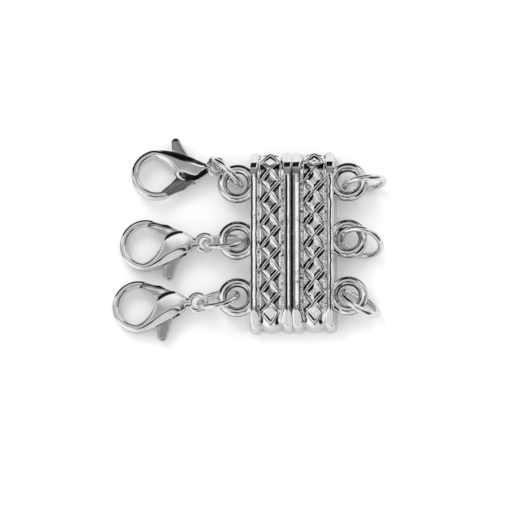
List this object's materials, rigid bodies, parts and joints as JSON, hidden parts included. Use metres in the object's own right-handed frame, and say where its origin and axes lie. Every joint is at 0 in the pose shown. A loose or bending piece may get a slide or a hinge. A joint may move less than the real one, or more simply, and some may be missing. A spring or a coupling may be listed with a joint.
{
  "type": "magnetic necklace extender",
  "caption": "Magnetic bar clasp for layered necklaces: cast halves with a lattice band and side loops, jump rings on both sides and lobster clasps on one side.",
  "frame": {"origin": "on the flat back of the bar, under the middle of the seam between its two halves", "axes": "+X from the lobster clasps across the bar to the jump rings of the other side, +Y along the bar towards the flipped clasp, +Z out of the bar's decorated front"},
  "size_m": [0.0433, 0.0332, 0.0071],
  "materials": {
    "bar_plating": "polished rhodium-coloured plating",
    "jump_ring_plating": "polished rhodium-coloured plating",
    "clasp_plating": "polished rhodium-coloured plating",
    "magnet": "nickel-plated",
    "pin_steel": "plain"
  },
  "bodies": {
    "left_half": {"bar_left": "bar_plating", "magnet_left": "magnet", "jump_ring_left_upper": "jump_ring_plating", "jump_ring_left_middle": "jump_ring_plating", "jump_ring_left_lower": "jump_ring_plating", "clasp_body_upper": "clasp_plating", "clasp_body_middle": "clasp_plating", "clasp_body_lower": "clasp_plating", "clasp_pin_upper": "pin_steel", "clasp_pin_middle": "pin_steel", "clasp_pin_lower": "pin_steel"},
    "right_half": {"bar_right": "bar_plating", "magnet_right": "magnet", "jump_ring_right_upper": "jump_ring_plating", "jump_ring_right_middle": "jump_ring_plating", "jump_ring_right_lower": "jump_ring_plating"},
    "lever_upper": {"clasp_lever_upper": "clasp_plating"},
    "lever_middle": {"clasp_lever_middle": "clasp_plating"},
    "lever_lower": {"clasp_lever_lower": "clasp_plating"}
  },
  "joints": [
    {"name": "bar_parting", "type": "slide", "parent": "left_half", "child": "right_half", "axis": [1, 0, 0], "range_m": [0, 0.012], "stiffness_N_per_m": 1, "springref_m": -0.05},
    {"name": "lever_upper_swing", "type": "hinge", "parent": "left_half", "child": "lever_upper", "pos_m": [-0.01616, 0.01137, 0.0018], "axis": [-0.0187, -0.0838, -0.9963], "range_deg": [0, 25], "stiffness_Nm_per_rad": 0.000005, "springref_deg": -11.46},
    {"name": "lever_middle_swing", "type": "hinge", "parent": "left_half", "child": "lever_middle", "pos_m": [-0.01801, 0.00012, 0.00218], "axis": [-0.1142, -0.0712, 0.9909], "range_deg": [0, 25], "stiffness_Nm_per_rad": 0.000005, "springref_deg": -11.46},
    {"name": "lever_lower_swing", "type": "hinge", "parent": "left_half", "child": "lever_lower", "pos_m": [-0.01911, -0.00971, 0.00211], "axis": [-0.1032, -0.0753, 0.9918], "range_deg": [0, 25], "stiffness_Nm_per_rad": 0.000005, "springref_deg": -11.46}
  ]
}
